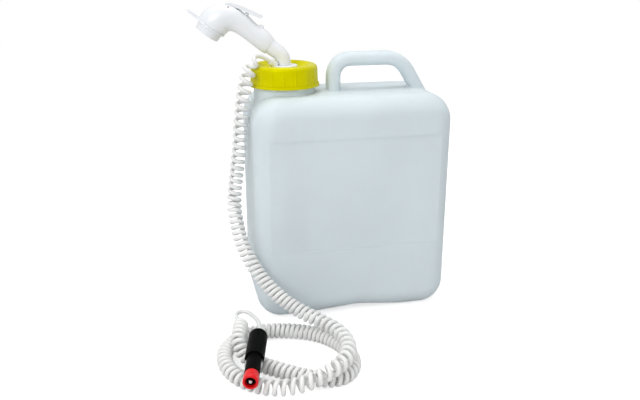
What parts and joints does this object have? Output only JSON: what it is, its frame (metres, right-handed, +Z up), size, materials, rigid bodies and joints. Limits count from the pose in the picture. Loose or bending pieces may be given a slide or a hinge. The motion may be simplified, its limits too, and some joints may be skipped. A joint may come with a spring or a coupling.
{
  "type": "portable shower",
  "caption": "Portable camp shower: translucent water can with a carrying handle, wide screw cap with a swivelling trigger shower head, submersible pump inside and a curly cord with a car plug.",
  "frame": {"origin": "on the floor, on the axis of the can's neck, at the flat foot below it", "axes": "+Z up, +X along the can from the neck towards the handle and pouring grip, +Y away from the side where the cord lies"},
  "size_m": [0.3999, 0.396, 0.492],
  "materials": {
    "can": "translucent natural polyethylene, soft sheen",
    "cap": "satin, lemon yellow",
    "white": "satin, cool white",
    "grey": "satin, light grey",
    "cord": "satin, warm white",
    "hose": "satin, milky grey",
    "rubber": "matte black",
    "black": "satin, blue-black",
    "plug": "satin black",
    "red": "bright red",
    "contact": "nickel plated",
    "steel": "stainless",
    "fuse_glass": "clear tube with plated ends"
  },
  "bodies": {
    "canister": {"canister": "can", "cord_hanging": "cord", "cord_coil": "cord", "cord_tail": "cord", "plug_body": "plug", "plug_strain_relief": "rubber", "plug_nose": "plug", "fuse": "fuse_glass"},
    "lid_insert": {"swivel_flange": "white", "flange_nut": "white", "flange_seal": "rubber", "cord_gland": "cord", "swivel_clip": "steel", "riser_hose": "hose", "hose_clips": "steel", "pump_outlet": "black", "pump_housing": "black", "pump_motor": "steel", "shaft_seal": "rubber", "pump_strainer": "black", "pump_cable": "cord", "cord_lead": "cord"},
    "cap": {"cap": "cap", "cap_gasket": "rubber"},
    "shower": {"elbow": "white", "swivel_oring": "rubber", "handset_seal": "rubber", "handset_body": "white", "lever_pin": "steel", "lever_spring": "steel", "nozzle_ring": "white", "spray_plate": "grey", "spray_gasket": "rubber"},
    "lever": {"lever": "white"},
    "plunger": {"valve_plunger": "white", "plunger_seal": "rubber"},
    "selector": {"selector_ring": "white"},
    "impeller": {"pump_impeller": "white", "pump_shaft": "steel"},
    "adapter": {"adapter_sleeve": "red"},
    "tip": {"tip_contact": "contact", "tip_spring": "steel"},
    "side_contact_left": {"side_contact_left": "contact"},
    "side_contact_right": {"side_contact_right": "contact"}
  },
  "joints": [
    {"name": "lid_lift", "type": "slide", "parent": "canister", "child": "lid_insert", "axis": [0, 0, 1], "range_m": [0, 0.305], "deforming": ["cord_hanging"]},
    {"name": "cap_turn", "type": "hinge", "parent": "lid_insert", "child": "cap", "pos_m": [0, 0, 0.385], "axis": [0, 0, 1], "range_deg": [0, 540]},
    {"name": "shower_swivel", "type": "hinge", "parent": "lid_insert", "child": "shower", "pos_m": [0, 0, 0.4], "axis": [0, 0, 1], "range_deg": [-180, 180]},
    {"name": "lever_press", "type": "hinge", "parent": "shower", "child": "lever", "pos_m": [-0.07976, 0.01792, 0.48642], "axis": [0.2192, 0.9757, 0], "range_deg": [0, 8], "stiffness_Nm_per_rad": 0.8, "springref_deg": -11.46},
    {"name": "plunger_stroke", "type": "slide", "parent": "shower", "child": "plunger", "axis": [-0.5872, 0.1319, -0.7986], "range_m": [0, 0.0042]},
    {"name": "selector_turn", "type": "hinge", "parent": "shower", "child": "selector", "pos_m": [-0.10683, 0.024, 0.45756], "axis": [-0.5666, 0.1273, -0.8141], "range_deg": [-30, 30]},
    {"name": "impeller_spin", "type": "hinge", "parent": "lid_insert", "child": "impeller", "pos_m": [0.014, -0.02, 0.104], "axis": [0, 0, 1], "continuous": true},
    {"name": "adapter_pull", "type": "slide", "parent": "canister", "child": "adapter", "axis": [-0.2232, -0.9748, 0], "range_m": [0, 0.025]},
    {"name": "tip_press", "type": "slide", "parent": "canister", "child": "tip", "axis": [0.2232, 0.9748, 0], "range_m": [0, 0.003], "stiffness_N_per_m": 1500, "springref_m": -0.003},
    {"name": "side_contact_left_press", "type": "slide", "parent": "canister", "child": "side_contact_left", "axis": [0.9748, -0.2232, 0], "range_m": [0, 0.0013], "stiffness_N_per_m": 1500, "springref_m": -0.002},
    {"name": "side_contact_right_press", "type": "slide", "parent": "canister", "child": "side_contact_right", "axis": [-0.9748, 0.2232, 0], "range_m": [0, 0.0013], "stiffness_N_per_m": 1500, "springref_m": -0.002}
  ],
  "couplings": [
    {"joint": "plunger_stroke", "follows": "lever_press", "m_per_rad": 0.029}
  ]
}
